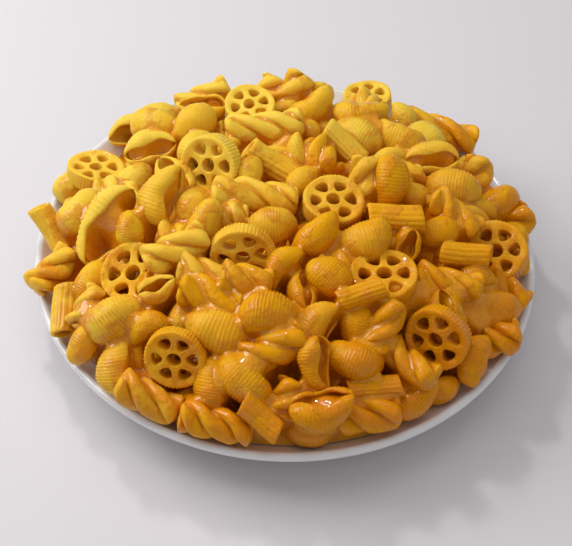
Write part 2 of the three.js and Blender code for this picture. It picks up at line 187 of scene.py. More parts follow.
# Kind; across and up from the middle of the rim, square to the line of sight; the axis's slope in
# that view; lift above the dome; size, which is the length of a spiral and the scale of the rest;
# roll, 0 when an opening faces the diner; and the axis's lean towards the diner
servedPieces = [
    ("shell", -72, 55, 25, 0, 0.95, 20),
    ("shell", -58, 60.5, 20, 0, 0.9, 150),
    ("spiral", -36.5, 69.5, 25, 1, 0.75),
    ("shell", -37.5, 63.5, 0, 0, 1, -40),
    ("wheel", -14.5, 65, 95, 1, 0.86, 15, 50),
    ("spiral", -8.5, 70.5, 60, 0, 0.5),
    ("spiral", 2.5, 70, 58, 3, 0.75, 30),
    ("spiral", 14.5, 68.5, 80, 0, 0.5),
    ("shell", 12, 64, 40, 1, 1.05, 240),
    ("wheel", 37, 69.5, 95, 1, 0.82, 20, 48),
    ("shell", 34.5, 61, 3, 1, 1.1, -95),
    ("shell", 53, 58.5, 100, 0, 0.85, 250),
    ("spiral", 69.5, 54, -18, 1, 1),
    ("wheel", -85, 37, 80, 1, 0.92, 10, 37),
    ("shell", -98.5, 28.5, 40, 0, 0.9, 180),
    ("shell", -61, 46.5, 15, 2, 1.1, 10),
    ("shell", -70, 33, 60, 0, 1, 180),
    ("shell", -55, 25.5, 70, 3, 1.25, 45),
    ("tube", -104.5, 13, 122, 8, 0.9),
    ("shell", -91, 18, 50, 2, 1.1, 205),
    ("shell", -78, 12, 57, 2, 1.6, 8),
    ("shell", -71.5, 10, 95, 1, 0.8, 170),
    ("wheel", -32, 41.5, 210, 3, 0.94, 0, 62),
    ("spiral", -10, 56.5, 7, 3, 1),
    ("tube", -5.5, 40, -32, 2, 1),
    ("shell", -16, 37.5, 80, 1, 0.8, 150),
    ("spiral", -15, 26, -4, 3, 1, 40),
    ("shell", 34.5, 54.5, -30, 1, 1, 180),
    ("shell", 50.5, 51.5, -25, 3, 1.05, 235),
    ("tube", 26, 48.5, -45, 1, 0.9),
    ("spiral", 16, 43, -60, 2, 0.5, 0, 40),
    ("shell", 6.5, 44, 100, 1, 0.8, 90),
    ("shell", 5.5, 34.5, 45, 0, 0.75, 120),
    ("wheel", 22, 21.5, 85, 4, 0.96, 5, 55),
    ("spiral", 35.5, 31, 75, 2, 0.75),
    ("shell", 46.5, 31, 85, 2, 1.1, 235),
    ("shell", 65.5, 41.5, 0, 2, 1.05, 10),
    ("shell", 75, 29, -10, 2, 1.1, 180),
    ("shell", 57, 27, -25, 1, 0.8, 180),
    ("spiral", 75.5, 18.5, -42, 4, 0.75),
    ("spiral", 83, 34, 70, 0, 0.6),
    ("shell", 94, 21, 20, 1, 1.1, 180),
    ("spiral", 101.5, 12, 35, 0, 0.6),
    ("shell", 106.5, 4, 80, -1, 0.7, 180),
    ("tube", 50, 15, -2, 5, 1),
    ("shell", 68, 9.5, 10, 1, 0.9, 180),
    ("wheel", 93.5, 0.5, 120, 1, 1, 0, 68),
    ("tube", 80.5, -0.5, -5, 4, 0.88),
    ("shell", 85.5, -10.5, -8, 4, 0.75, 170),
    ("spiral", 73.5, -13.5, -12, 2, 0.75),
    ("shell", 54, 2, 70, 1, 0.8, 10),
    ("shell", 52.5, -20, 10, 1, 1, 180),
    ("shell", 92.5, -27.5, 10, 1, 1.2, 180),
    ("spiral", 106, -23, -40, 1, 0.6),
    ("spiral", 97.5, -36.5, 10, 0, 0.5),
    ("shell", 107.5, -6, 90, -1, 0.6, 180),
    ("shell", 35, 4.5, 15, 4, 1.2, 205),
    ("wheel", 43.5, -12, 92, 0, 1, 0, 52),
    ("tube", 34.5, -19.5, 18, 3, 0.8),
    ("shell", 21, -10.5, -42, 2, 1.05, 165),
    ("shell", 15.5, 7.5, 40, 3, 1.1, 240),
    ("shell", -1, -4.5, 53, 0, 0.95, 80),
    ("shell", -6, 12, 0, 1, 1, 180),
    ("wheel", -19.5, -1.5, -95, 2, 0.98, 10, 62),
    ("spiral", -19, -12, -12, 5, 0.6),
    ("spiral", -35.5, -7, -15, 2, 0.6),
    ("spiral", -32.5, -20.5, -15, 2, 0.8, 60),
    ("shell", -36.5, 13.5, 65, 2, 0.95, 205),
    ("spiral", -50.5, 1.5, 25, 2, 0.8),
    ("wheel", -69, -8, 100, 2, 1.03, 0, 65),
    ("shell", -87, -11.5, 72, 0, 1, 170),
    ("spiral", -104, -6, 45, 6, 0.7, 0, -25),
    ("shell", -58.5, -16, 18, 4, 0.8, -25),
    ("tube", -98.5, -27, -93, 0, 0.95, 0, 25),
    ("spiral", -89, -22, 55, 0, 0.6),
    ("shell", -78, -30.5, 40, 2, 1.2, 180),
    ("shell", -64, -32, 29, 2, 0.95, 115),
    ("shell", -90, -42.5, 60, 0, 0.9, 180),
    ("shell", -77, -54, 100, 1, 1.1, 95),
    ("spiral", -61.5, -66.5, -28, 0, 0.8),
    ("spiral", -30.5, -74, -12, 0, 0.95),
    ("wheel", -48, -47, -110, 5, 0.93, 0, 70),
    ("shell", -45.5, -70, 40, 0, 0.85, 180),
    ("shell", -46, -27.5, 70, 0, 0.85, 180),
    ("shell", -27.5, -35.5, -22, 2, 1.3, 175),
    ("shell", -8.5, -27, -3, 4, 1.15, 140),
    ("shell", 12.5, -31, 52, 3, 1.1, 65),
    ("shell", -32.5, -56.5, 85, 3, 1, 180),
    ("shell", -17, -57.5, -40, 3, 1.1, 205),
    ("spiral", -6, -43.5, 24, 4, 0.75),
    ("tube", -11, -72, -40, 4, 0.85),
    ("spiral", -0.5, -64, 65, 1, 0.5),
    ("shell", 15.5, -68.5, 10, 3, 1.2, -50),
    ("shell", 15, -49.5, 100, 2, 1, 60),
    ("shell", 30, -46, -20, 1, 1.1, 180),
    ("shell", 32.5, -30.5, 80, 1, 0.9, 180),
    ("spiral", 44.5, -33, 65, 1, 0.7),
    ("shell", 12, -77.5, 2, -1, 1, 180),
    ("spiral", 55, -48.5, -35, 4, 0.75, 0, 35),
    ("tube", 40.5, -60, 5, 2, 0.85),
    ("spiral", 36, -71, 5, 1, 0.75),
    ("shell", 58.5, -63, 42, 3, 1.15, -80),
    ("wheel", 68, -37.5, 215, 4, 0.98, 12, 62),
    ("shell", 84.5, -50, 75, 1, 1, 130),
    ("shell", 71, -60.5, 30, 0, 0.75, 180),
]

pasta = {
    "wheelRadius": 13.75,
    "wheelWidth": 8.5,
    "shellLength": 22.8,
    "shellWidth": 16.0,
    "spiralRadius": 7.5,
    "spiralLength": 36.0,
    "tubeRadius": 5.9,
    "tubeLength": 24.5,
}


def unit(vectors):
    return vectors / np.linalg.norm(vectors, axis=-1, keepdims=True)


def domeHeight(radius):
    return plate["rimHeight"] + heap["rise"] * (1 - (radius / heap["radius"]) ** heap["power"])


def seenPoint(across, up, lift):
    # Where a line of sight meets the dome raised by the lift, or passes closest over it
    target = rimCentre + viewRight * across + viewUp * up
    points = eye + sightSteps[:, None] * (target - eye)
    clearance = points[:, 2] - domeHeight(np.hypot(points[:, 0], points[:, 1])) - lift
    under = np.nonzero(clearance <= 0)[0]
    return points[under[0]] if len(under) else points[np.argmin(clearance)]


def turned(axis, facing, roll):
    # Columns: the way the opening faces, the side and the axis
    z = unit(axis)
    x = unit(facing - z * np.dot(facing, z))
    y = np.cross(z, x)
    cosine, sine = math.cos(math.radians(roll)), math.sin(math.radians(roll))
    return np.stack([x * cosine + y * sine, y * cosine - x * sine, z], 1)


def servedPiece(kind, across, up, lie, lift, size, roll=0, tip=0):
    lie, tip = math.radians(lie), math.radians(tip)
    axis = viewRight * math.cos(lie) + viewUp * math.sin(lie)
    axis = axis * math.cos(tip) + toEye * math.sin(tip)
    pose = turned(axis, viewRight if kind == "wheel" else toEye, roll)
    place = seenPoint(across, up, lift)
    return {"kind": kind, "place": place, "pose": pose, "size": size, "role": "served"}


def fillerPiece(kind, radius, angle, depth, role):
    outward = np.array([math.cos(angle), math.sin(angle), 0])
    along = np.array([-math.sin(angle), math.cos(angle), 0])
    steep = heap["rise"] * heap["power"]
    slope = steep * (radius / heap["radius"]) ** (heap["power"] - 1) / heap["radius"]
    normal = unit(outward * slope + np.array([0, 0, 1]))
    uphill = np.cross(normal, along)
    place = outward * radius + np.array([0, 0, domeHeight(radius)]) - normal * depth
    turn = draw.uniform(-0.5, 0.5) * (math.pi / 3 if radius > filler["radius"] else math.tau)
    lean = math.radians(draw.uniform(*filler["lean"]))
    opened = draw.random() < filler["openShare"]
    roll = draw.uniform(*filler["openRoll" if opened else "backRoll"])
    axis = along * math.cos(turn) + uphill * math.sin(turn)
    size = draw.uniform(*filler["size"])
    if kind == "spiral":
        size = draw.uniform(*filler["spiralSize"])
    facing = normal
    if kind == "wheel":
        axis, facing = axis * math.sin(lean) + normal * math.cos(lean), along
    pose = turned(axis, facing, roll)
    return {"kind": kind, "place": place, "pose": pose, "size": size, "role": role}


def wheelRoom(ring, ball):
    turn = np.arange(8) / 8 * math.tau
    balls = np.column_stack([onCircle(ring, turn), 0 * turn, 0 * turn + ball])
    return np.vstack([balls, [[0, 0, 0, ball]]])


# Balls that stand for the room a piece takes: x, y, z in its own frame, and radius
room = {
    "wheel": wheelRoom(9.4, 4.3),
    "shell": np.array([[1, 0, -6.6, 5.5], [-0.5, 0, 0, 7.3], [1, 0, 6.6, 5.5]]),
    "tube": np.array([[0, 0, z, 5.8] for z in (-9, -3, 3, 9)]),
    "spiral": {"end": 5, "step": 3, "ball": 6.2},
}


def roomOf(piece):
    kind, size = piece["kind"], piece["size"]
    if kind == "spiral":
        reach = pasta["spiralLength"] * size / 2 - room[kind]["end"]
        count = max(2, round(reach / room[kind]["step"]))
        along = np.linspace(-reach, reach, count)
        return along[:, None] * (0, 0, 1), np.full(count, room[kind]["ball"])
    return room[kind][:, :3] * size, room[kind][:, 3] * size


def spotsOf(piece):
    return roomOf(piece)[0] @ piece["pose"].T + piece["place"]


def overBack(piece):
    across, up = piece["place"] @ viewRight, (piece["place"] - rimCentre) @ viewUp
    return up > 0 and (across / heap["backAcross"]) ** 2 + (up / heap["backUp"]) ** 2 > 1


def nearest(spots, piece):
    return np.linalg.norm(np.array(spots) - piece["place"], axis=1).min()


def layPieces():
    pieces = [servedPiece(*row) for row in servedPieces]
    taken = [spot for piece in pieces for spot in spotsOf(piece)]

    def tryFiller(kind, radius, angle):
        piece = fillerPiece(kind, radius, angle, 0, "filler")
        if not overBack(piece) and nearest(taken, piece) >= filler["spacing"]:
            pieces.append(piece)
            taken.extend(spotsOf(piece))

    def goldenSpiral(count, radius, start):
        # Even spots on a disc: the part of the way to its edge, the distance and the angle
        for i in range(count):
            part = math.sqrt((i + 0.5) / count)
            yield i, part, radius * part, i * math.pi * (3 - math.sqrt(5)) + start

    for i in range(filler["edgeCount"]):
        angle = i / filler["edgeCount"] * math.tau
        tryFiller(("shell", "spiral")[i % 2], filler["edgeRadius"], angle)
    for i, part, radius, angle in goldenSpiral(filler["count"], filler["radius"], 0):
        kind = filler["kinds"][i % len(filler["kinds"])]
        far = part * math.sin(angle)
        nearWheel = kind == "wheel" and far < filler["wheelsFrom"]
        farTube = kind == "tube" and far > filler["tubesTo"]
        if nearWheel or farTube:
            kind = "shell"
        tryFiller(kind, radius, angle)
    hubs = [piece["place"] for piece in pieces if piece["kind"] == "wheel"]
    for i, part, radius, angle in goldenSpiral(scrap["count"], filler["radius"], 0.5):
        depth = scrap["farDepth" if part * math.sin(angle) > scrap["farFrom"] else "depth"]
        piece = fillerPiece(("shell", "spiral")[i % 2], radius, angle, depth, "scrap")
        piece["size"] *= scrap["size"]
        if overBack(piece) or nearest(hubs, piece) < scrap["hubSpacing"]:
            continue
        if nearest(taken, piece) > scrap["spacing"]:
            pieces.append(piece)
            taken.append(piece["place"])
    for i, _, radius, angle in goldenSpiral(lower["count"], lower["radius"], 1):
        kind = lower["kinds"][i % len(lower["kinds"])]
        pieces.append(fillerPiece(kind, radius, angle, lower["depth"], "lower"))
    return pieces


def settle(pieces):
    # Pieces push one another apart. A served piece gives way along the line of sight, so that it
    # stays where the diner sees it
    rooms = [roomOf(piece) for piece in pieces]
    owner = np.concatenate([np.full(len(radii), i) for i, (_, radii) in enumerate(rooms)])
    offsets = np.vstack([spots @ piece["pose"].T for (spots, _), piece in zip(rooms, pieces)])
    radii = np.concatenate([radii for _, radii in rooms])
    start = np.array([piece["place"] for piece in pieces])
    places = start.copy()
    sight = unit(start - eye)
    served = np.array([piece["role"] == "served" for piece in pieces])
    weights = {"served": settling["servedWeight"], "lower": settling["lowerWeight"]}
    weight = [weights.get(piece["role"], settling["plainWeight"]) for piece in pieces]
    weight = np.array(weight)[owner]
    other = owner[:, None] != owner[None]
    profile = insideProfile(40)
    for _ in range(settling["steps"]):
        balls = places[owner] + offsets
        between = balls[:, None] - balls[None]
        distance = np.maximum(np.linalg.norm(between, axis=2), tiny)
        pressed = radii[:, None] + radii[None] - distance - settling["overlap"]
        pressed = np.clip(pressed, 0, settling["mostPress"]) * other
        push = (between * (pressed / distance)[..., None]).sum(1) * settling["push"]
        push = push * weight[:, None]
        radius = np.hypot(balls[:, 0], balls[:, 1])
        away = np.stack([radius, balls[:, 2]], 1)[:, None] - profile[None]
        closest = np.argmin((away ** 2).sum(2), 1)
        away = away[np.arange(len(closest)), closest]
        reach = np.linalg.norm(away, axis=1)
        below = (balls[:, 2] < plateTop(radius)) & (radius < plate["rimRadius"])
        depth = np.where(below, radii + reach, radii + plate["clearance"] - reach)
        way = away / np.maximum(reach, tiny)[:, None] * np.where(below, -1, 1)[:, None]
        platePush = way * np.clip(depth, 0, settling["mostPlate"])[:, None] * settling["platePush"]
        outward = balls[:, :2] / np.maximum(radius, tiny)[:, None]
        push += np.column_stack([outward * platePush[:, :1], platePush[:, 1]])
        move = np.zeros_like(places)
        np.add.at(move, owner, push)
        places += np.clip(move, -settling["mostMove"], settling["mostMove"])
        shift = places - start
        along = (shift * sight).sum(1, keepdims=True)
        side = shift - along * sight
        width = np.linalg.norm(side, axis=1, keepdims=True)
        side = side * np.minimum(1, settling["sideways"] / np.maximum(width, tiny))
        held = start + sight * np.clip(along, settling["nearer"], settling["further"]) + side
        places = np.where(served[:, None], held, places)
    for piece, place in zip(pieces, places):
        piece["place"] = place


pieces = layPieces()
settle(pieces)
print("pieces laid:", len(pieces))


def gridFaces(rows, columns, closedRows=False, closedColumns=True):
    i, j = np.meshgrid(
        np.arange(rows if closedRows else rows - 1),
        np.arange(columns if closedColumns else columns - 1),
        indexing="ij",
    )
    nextI, nextJ = (i + 1) % rows, (j + 1) % columns
    faces = [i * columns + j, i * columns + nextJ, nextI * columns + nextJ, nextI * columns + j]
    return np.stack(faces, -1).reshape(-1, 4)


def buildMesh(name, points, faces, caps=()):
    mesh = bpy.data.meshes.new(name)
    mesh.from_pydata(points.tolist(), [], faces.tolist() + [list(cap) for cap in caps])
    mesh.validate()
    mesh.polygons.foreach_set("use_smooth", [True] * len(mesh.polygons))
    mesh.update()
    return mesh


def stackMesh(name, sections):
    # Closed sections, each a ring of points, from one end to the other; the ends are fans
    rows, columns = sections.shape[:2]
    points = sections.reshape(-1, 3)
    points = np.vstack([points, sections[0].mean(0), sections[-1].mean(0)])
    first, last = rows * columns, rows * columns + 1
    fans = [(first, (j + 1) % columns, j) for j in range(columns)]
    base = (rows - 1) * columns
    fans += [(last, base + j, base + (j + 1) % columns) for j in range(columns)]
    return buildMesh(name, points, gridFaces(rows, columns), fans)


def pointsOf(mesh):
    points = np.empty(len(mesh.vertices) * 3)
    mesh.vertices.foreach_get("co", points)
    return points.reshape(-1, 3)


def outwards(mesh):
    # Signed volume tells whether the faces point in; if so they are turned round
    mesh.calc_loop_triangles()
    corners = np.empty(len(mesh.loop_triangles) * 3, int)
    mesh.loop_triangles.foreach_get("vertices", corners)
    a, b, c = pointsOf(mesh)[corners.reshape(-1, 3).T]
    if (np.cross(a, b) * c).sum() < 0:
        mesh.flip_normals()
    return mesh


# Each kind of pasta is made with its axis along Z and its opening towards X
shellMake = {
    "wall": 1.8,
    "bow": 2.8,
    "tip": 0.1,
    "ridges": 17,
    "ridgeDepth": 0.38,
    "innerRidgeDepth": 0.15,
    "ridgeLevel": 0.6,  # where a ridge crosses the smooth shell, as a part of its depth
    "lipCurl": 0.2,
    "ruffle": 0.06,
    "scallop": 1.2,
    "lipWave": 10.0,
    "endReach": 14,  # degrees by which the lips reach further round at the ends
    "dent": 0.11,
    # For each variant: how far the lips reach round, two powers that shape the ends, and how much
    # fatter one end is
    "variants": ((128, 2.1, 0.55, 0.14), (142, 2.0, 0.62, -0.05), (152, 2.3, 0.56, -0.18)),
}
spiralMake = {
    "valley": 2.9,
    "blades": 3,
    "fatness": 0.54,
    "pitch": 34.0,
    "curl": 0.42,
    "bow": 1.4,
    "endLength": 2.4,
    "endSize": 0.6,
    "uneven": (0.09, 0.05),  # a long and a short wave along the blades
    "wobble": 0.25,
}
tubeMake = {
    "bore": 3.9,
    "ridges": 14,
    "ridgeDepth": 0.4,
    "slant": 1.2,
    "bow": 1.2,
    "bevel": 0.5,
    "squash": 0.06,
}
wheelMake = {
    "rimInner": 10.6,
    "rimStep": 1.5,  # from the petals' outer ends to the raised part of the rim
    "hubOuter": 5.2,
    "hubHole": 3.2,
    "spokes": 6,
    "spokeWidth": 2.5,
    "flutes": 50,
    "fluteDepth": 0.42,
    "bevel": 0.7,
    "recess": 0.84,
    "hubRise": 0.6,  # part of the recess that the hub makes up
    "warp": 0.7,
    "oval": 0.025,
}
ridgePower = 0.8  # below 1, ridges are broad and the grooves between them narrow


def shellMesh(name, variant, rowsPerRidge, outerSteps, innerSteps):
    lip, taper, blunt, egg = shellMake["variants"][variant]
    ridges, level = shellMake["ridges"], shellMake["ridgeLevel"]
    station = np.linspace(-1, 1, ridges * rowsPerRidge + 1)[:, None]
    ridge = np.abs(np.cos(np.pi * ridges * station / 2)) ** ridgePower
    span = np.clip(1 - np.abs(station) ** taper, 0, 1) ** blunt * (1 + egg * station)
    girth = shellMake["tip"] + (1 - shellMake["tip"]) * span
    outer = pasta["shellWidth"] / 2 * girth
    inner = np.maximum(outer - shellMake["wall"], outer * 0.35)
    wave = shellMake["lipWave"] * np.sin(4 * station + variant * 2.2)
    ends = shellMake["endReach"] * np.abs(station) ** 3
    reach = np.radians(lip + wave + shellMake["scallop"] * (ridge - 0.5) + ends)
    part = np.linspace(-1, 1, outerSteps)[None]
    back = np.linspace(1, -1, innerSteps)[None] * 0.97
    fade = np.clip(girth * 1.2 - 0.2, 0.1, 1)
    raised = shellMake["ridgeDepth"] * (1 - 0.8 * np.abs(part) ** 4)

    def shaped(share):
        # The lips curl in and ruffle, and the back has a dent
        curl = 1 - shellMake["lipCurl"] * (np.clip(np.abs(share) - 0.55, 0, 1) / 0.45) ** 1.5
        wavy = np.abs(share) ** 4 * np.sin(7 * station + 3 * share + variant)
        aside, along = share - 0.3 + 0.25 * variant, station + 0.35 - 0.3 * variant
        spot = (aside / 0.32) ** 2 + (along / 0.4) ** 2
        return curl * (1 + shellMake["ruffle"] * wavy) * (1 - shellMake["dent"] * np.exp(-spot))

    outside = (outer + raised * fade * (ridge - level)) * shaped(part)
    inside = (inner + shellMake["innerRidgeDepth"] * fade * (ridge - level)) * shaped(back)
    lips = [(outer + inner) / 2 * shaped(np.full((1, 1), end)) for end in (1, -1)]
    angle = np.hstack([reach * part, reach + 0.07, reach * back, -reach - 0.07])
    radius = np.hstack([outside, lips[0], inside, lips[1]])
    x = shellMake["bow"] * station ** 2 - radius * np.cos(angle)
    z = station * pasta["shellLength"] / 2 + 0 * angle
    return outwards(stackMesh(name, np.stack([x, radius * np.sin(angle), z], -1)))


def spiralMesh(name, length, step, around, phase):
    height = np.linspace(-length / 2, length / 2, round(length / step) + 1)[:, None]
    theta = np.linspace(0, math.tau, around, endpoint=False)[None]
    lobe = np.abs(np.cos(spiralMake["blades"] * theta / 2)) ** spiralMake["fatness"]
    end = np.clip((length / 2 - np.abs(height)) / spiralMake["endLength"], 0, 1)
    blunted = spiralMake["endSize"] + (1 - spiralMake["endSize"]) * np.sqrt(1 - (1 - end) ** 2)
    long, short = spiralMake["uneven"]
    uneven = 1 + long * np.sin(height / 5 + theta + phase * 2)
    uneven = uneven + short * np.sin(height / 2.3 - theta + phase)
    blade = (pasta["spiralRadius"] - spiralMake["valley"]) * lobe * uneven
    radius = (spiralMake["valley"] + blade) * blunted
    twist = height / spiralMake["pitch"] * math.tau
    twist = twist + spiralMake["wobble"] * np.sin(height / 7 + phase)
    angle = theta + spiralMake["curl"] * lobe + twist
    bend = spiralMake["bow"] * np.cos(height / length * math.pi)
    x = radius * np.cos(angle) + bend * math.cos(phase)
    y = radius * np.sin(angle) + bend * math.sin(phase)
    return outwards(stackMesh(name, np.stack([x, y, height + 0 * angle], -1)))


def tubeMesh(name, around, phase):
    # Rows of the profile: radius, height, and how much of the ridges shows there
    half, bevel = pasta["tubeLength"] / 2, tubeMake["bevel"]
    outer, inner = pasta["tubeRadius"], tubeMake["bore"]
    profile = [(outer - 0.05, t * (half - bevel), 1) for t in np.linspace(-1, 1, 12)]
    profile += [(outer - bevel, half - 0.05, 0.5), (inner + bevel, half, 0)]
    profile += [(inner, half - bevel, 0)]
    profile += [(inner, -t * (half - bevel), 0) for t in np.linspace(-0.8, 0.8, 5)]
    profile += [(inner, -half + bevel, 0), (inner + bevel, -half, 0)]
    profile += [(outer - bevel, -half + 0.05, 0.5)]
    radius, height, ridged = np.array(profile).T[..., None]
    theta = np.linspace(0, math.tau, around, endpoint=False)[None]
    ridge = np.abs(np.cos(theta * tubeMake["ridges"] / 2)) ** ridgePower
    radius = radius + ridged * tubeMake["ridgeDepth"] * (ridge - 0.5)
    squash = 1 + tubeMake["squash"] * np.cos(2 * theta + phase)
    along = height / half
    x = radius * squash * np.cos(theta) + tubeMake["bow"] * along ** 2
    y = radius / squash * np.sin(theta)
    z = height + tubeMake["slant"] * np.abs(along) ** 4 * np.cos(theta + phase)
    points = np.stack([x, y, z], -1).reshape(-1, 3)
    return outwards(buildMesh(name, points, gridFaces(len(profile), around, closedRows=True)))


def wheelOutlines():
    # The tread, then the hub's hole, then the petals between the spokes
    turn = np.linspace(0, math.tau, wheelMake["flutes"] * 4, endpoint=False)
    groove = np.abs(np.cos(turn * wheelMake["flutes"] / 2))
    outlines = [onCircle(pasta["wheelRadius"] + wheelMake["fluteDepth"] * (groove - 0.6), turn)]
    turn = np.linspace(0, math.tau, 24, endpoint=False)
    outlines.append(onCircle(wheelMake["hubHole"], turn))
    middle = (wheelMake["rimInner"] + wheelMake["hubOuter"]) / 2
    deep = (wheelMake["rimInner"] - wheelMake["hubOuter"]) / 2
    outward, across = (np.sign(way) * np.abs(way) ** 0.8 for way in (np.cos(turn), np.sin(turn)))
    petal = middle + deep * outward
    wide = math.pi / wheelMake["spokes"] - np.arcsin(wheelMake["spokeWidth"] / 2 / petal)
    wide = wide * across * (0.92 + 0.06 * outward)
    for spoke in range(wheelMake["spokes"]):
        outlines.append(onCircle(petal, spoke / wheelMake["spokes"] * math.tau + wide))
    return outlines


def wheelMesh(name, phase):
    # Every outline is the wall of a hole or the tread, rounded over at both faces; the faces are
    # filled between the outlines, with one more circle where the rim rises
    half, bevel = pasta["wheelWidth"] / 2, wheelMake["bevel"]
    turn = np.linspace(0, math.pi / 2, 4)
    inset = bevel * (1 - np.sin(turn))
    level = half - bevel * (1 - np.cos(turn))
    inset, level = np.append(inset, inset[::-1]), np.append(level, -level[::-1])
    points, walls, loops, flat, front, back = [], [], [], [], [], []
    start = 0
    for outline in wheelOutlines():
        along = np.roll(outline, -1, 0) - np.roll(outline, 1, 0)
        into = unit(np.stack([along[:, 1], -along[:, 0]], 1)) if start else -unit(outline)
        rings = outline + into * inset[:, None, None]
        levels = np.broadcast_to(level[:, None, None], (len(level), len(outline), 1))
        quads = gridFaces(len(level), len(outline)) + start
        walls.append(quads if start else quads[:, ::-1])
        points.append(np.concatenate([rings, levels], 2).reshape(-1, 3))
        loops.append([len(flat) + j for j in range(len(outline))])
        flat.extend(Vector(point) for point in rings[0])
        front.extend(range(start, start + len(outline)))
        start += len(points[-1])
        back.extend(range(start - len(outline), start))
    turn = np.linspace(0, math.tau, 60, endpoint=False)
    circle = onCircle(wheelMake["rimInner"] + wheelMake["rimStep"], turn)
    edges = [(len(flat) + j, len(flat) + (j + 1) % len(turn)) for j in range(len(turn))]
    for side, listed in ((half, front), (-half, back)):
        listed.extend(range(start, start + len(turn)))
        points.append(np.column_stack([circle, np.full(len(turn), side)]))
        start += len(turn)
    flat.extend(Vector(point) for point in circle)
    _, _, triangles, given, _, _ = delaunay_2d_cdt(flat, edges, loops, 1, 1e-4)
    holes = [set(loop) for loop in loops[1:]]
    caps = []
    for triangle in triangles:
        a, b, c = corners = [given[corner][0] for corner in triangle]
        if any(hole.issuperset(corners) for hole in holes):
            continue
        if (flat[b] - flat[a]).cross(flat[c] - flat[a]) < 0:
            b, c = c, b
        caps += [(front[a], front[b], front[c]), (back[a], back[c], back[b])]
    points = np.vstack(points)
    radius = np.hypot(points[:, 0], points[:, 1])
    angle = np.arctan2(points[:, 1], points[:, 0])
    rim = (radius - wheelMake["rimInner"] - bevel) / (wheelMake["rimStep"] - bevel)
    hub = np.clip(wheelMake["hubHole"] + bevel + 0.2 - radius, 0, 1) * wheelMake["hubRise"]
    risen = np.maximum(np.clip(rim, 0, 1), hub)
    points[:, 2] *= wheelMake["recess"] + (1 - wheelMake["recess"]) * risen
    bent = wheelMake["warp"] * (radius / pasta["wheelRadius"]) ** 2
    points[:, 2] += bent * np.cos(2 * angle + phase)
    points[:, :2] *= (1 + wheelMake["oval"] * np.cos(2 * angle + phase * 1.7))[:, None]
    return outwards(buildMesh(name, points, np.vstack(walls), caps))


spiralSizes = (0.35, 0.55, 0.75, 1.0)
lowerSpiralSize = 0.8
tubePhases, wheelPhases = (0.4, 2.6, 4.9), (0.3, 2.1, 4.4)  # each warps a wheel or tube another way
length = pasta["spiralLength"]
kinds = {
    "wheel": [wheelMesh(f"wheelKind{i}", phase) for i, phase in enumerate(wheelPhases)],
    "shell": [
        shellMesh(f"shellKind{i}", i, rowsPerRidge=3, outerSteps=11, innerSteps=7) for i in range(3)
    ],
    "spiral": [
        spiralMesh(f"spiralKind{i}", length * size, step=1.0, around=36, phase=i)
        for i, size in enumerate(spiralSizes)
    ],
    "tube": [tubeMesh(f"tubeKind{i}", 84, phase) for i, phase in enumerate(tubePhases)],
    "lowerShell": [shellMesh("lowerShellKind", 1, rowsPerRidge=1, outerSteps=6, innerSteps=4)],
    "lowerSpiral": [
        spiralMesh("lowerSpiralKind", length * lowerSpiralSize, step=2.0, around=18, phase=0.5)
    ],
}
for kind, meshes in kinds.items():
    print(kind, [len(mesh.polygons) for mesh in meshes])


# One output socket of a node. Arithmetic on it adds Math nodes to the same tree
class Wire:
    def __init__(self, recipe, socket):
        self.recipe, self.socket = recipe, socket

    def also(self, name):
        # Another output of the same node
        return Wire(self.recipe, self.socket.node.outputs[name])

    def maths(self, operation, *values):
        return self.recipe.add("ShaderNodeMath", {"operation": operation}, dict(enumerate(values)))

    def __add__(self, other): return self.maths("ADD", self, other)
    def __radd__(self, other): return self.maths("ADD", other, self)
    def __sub__(self, other): return self.maths("SUBTRACT", self, other)
    def __rsub__(self, other): return self.maths("SUBTRACT", other, self)
    def __mul__(self, other): return self.maths("MULTIPLY", self, other)
    def __rmul__(self, other): return self.maths("MULTIPLY", other, self)

    def clamped(self):
        return self.recipe.add("ShaderNodeClamp", {}, {"Value": self})

    def between(self, low, high):
        # 0 below low, 1 above high, smooth from one to the other
        values = {"Value": self, "From Min": low, "From Max": high}
        return self.recipe.add("ShaderNodeMapRange", {"interpolation_type": "SMOOTHSTEP"}, values)


# The nodes of one tree, of a material or of a modifier
class Recipe:
    def __init__(self, tree):
        self.tree = tree
        tree.nodes.clear()

    def add(self, kind, settings, values, output=0):
        node = self.tree.nodes.new(kind)
        for setting, value in settings.items():
            setattr(node, setting, value)
        for socket, value in values.items():
            if isinstance(value, Wire):
                self.tree.links.new(value.socket, node.inputs[socket])
            else:
                node.inputs[socket].default_value = value
        return Wire(self, node.outputs[output] if len(node.outputs) else None)

    def place(self):
        return self.add("ShaderNodeTexCoord", {}, {}, "Object")

    def attribute(self, name):
        return self.add("ShaderNodeAttribute", {"attribute_name": name}, {}, "Fac")

    def noise(self, place, scale, detail, seed):
        values = {"Vector": place, "Scale": scale, "Detail": detail, "W": seed}
        return self.add("ShaderNodeTexNoise", {"noise_dimensions": "4D"}, values)

    def mix(self, share, first, second):
        first, second = ((*v, 1) if isinstance(v, tuple) else v for v in (first, second))
        return self.add("ShaderNodeMix", {"data_type": "RGBA"}, {0: share, 6: first, 7: second}, 2)

    def bump(self, height, strength, distance):
        values = {"Strength": strength, "Distance": distance, "Height": height}
        return self.add("ShaderNodeBump", {}, values)

    def shader(self, settings, values):
        surface = self.add("ShaderNodeBsdfPrincipled", settings, values)
        self.add("ShaderNodeOutputMaterial", {}, {"Surface": surface})


def newMaterial(name):
    material = bpy.data.materials.new(name)
    material.use_nodes = True
    return material, Recipe(material.node_tree)


